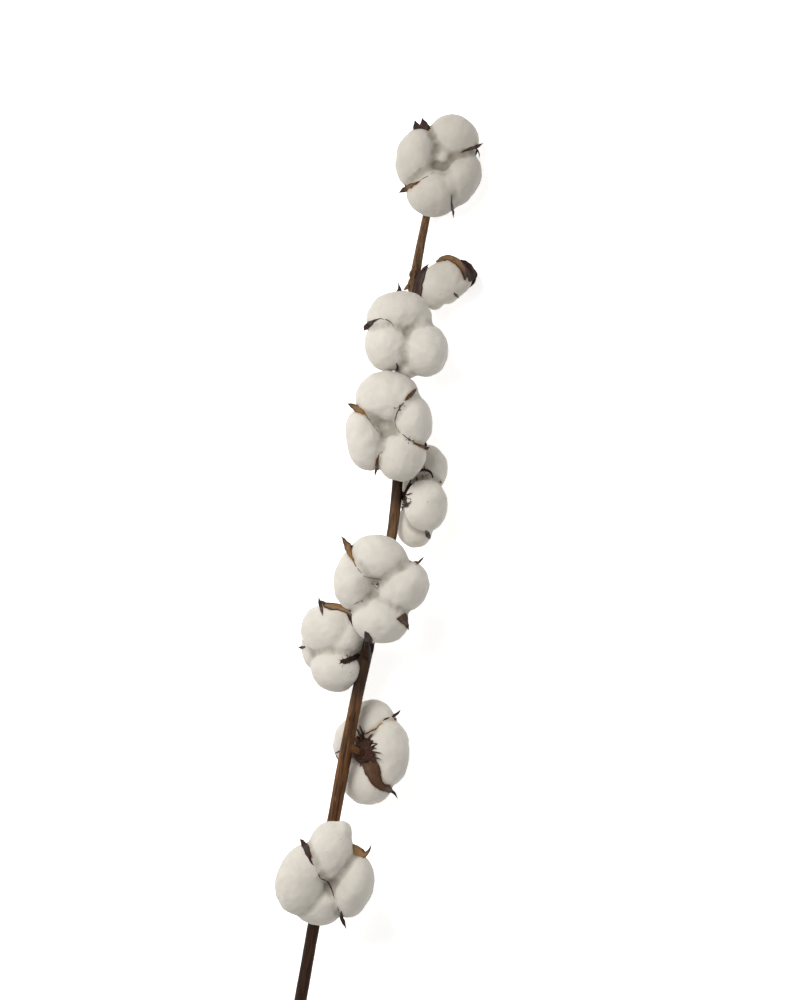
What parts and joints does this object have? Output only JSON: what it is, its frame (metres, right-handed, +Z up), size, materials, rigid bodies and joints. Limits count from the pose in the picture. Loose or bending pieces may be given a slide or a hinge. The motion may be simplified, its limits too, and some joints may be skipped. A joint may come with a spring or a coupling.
{
  "type": "cotton stem",
  "caption": "Cut dried cotton stem laid on a table: a brown woody stem with open white bolls in brown pointed burs on short stalks.",
  "frame": {"origin": "middle of the footprint on the table, at the height of the table", "axes": "+Y along the stem towards its tip, +Z up from the table, +X across, to the right seen from above with the tip away"},
  "size_m": [0.1244, 0.588, 0.0753],
  "materials": {
    "stem": "dry striped bark, dull",
    "calyx": "dry, dark, ragged",
    "bur": "dry shell, golden brown inside, dark brown outside",
    "lint": "loose raw cotton fibre, matt off-white"
  },
  "bodies": {
    "root": {"stem": "stem", "boll_1_calyx": "calyx", "boll_1_bur": "bur", "boll_1_lint": "lint", "boll_2_calyx": "calyx", "boll_2_bur": "bur", "boll_2_lint": "lint", "boll_3_calyx": "calyx", "boll_3_bur": "bur", "boll_3_lint": "lint", "boll_4_calyx": "calyx", "boll_4_bur": "bur", "boll_4_lint": "lint", "boll_5_calyx": "calyx", "boll_5_bur": "bur", "boll_5_lint": "lint", "boll_6_calyx": "calyx", "boll_6_bur": "bur", "boll_6_lint": "lint", "boll_7_calyx": "calyx", "boll_7_bur": "bur", "boll_7_lint": "lint", "boll_8_calyx": "calyx", "boll_8_bur": "bur", "boll_8_lint": "lint", "boll_9_calyx": "calyx", "boll_9_bur": "bur", "boll_9_lint": "lint"}
  },
  "joints": []
}
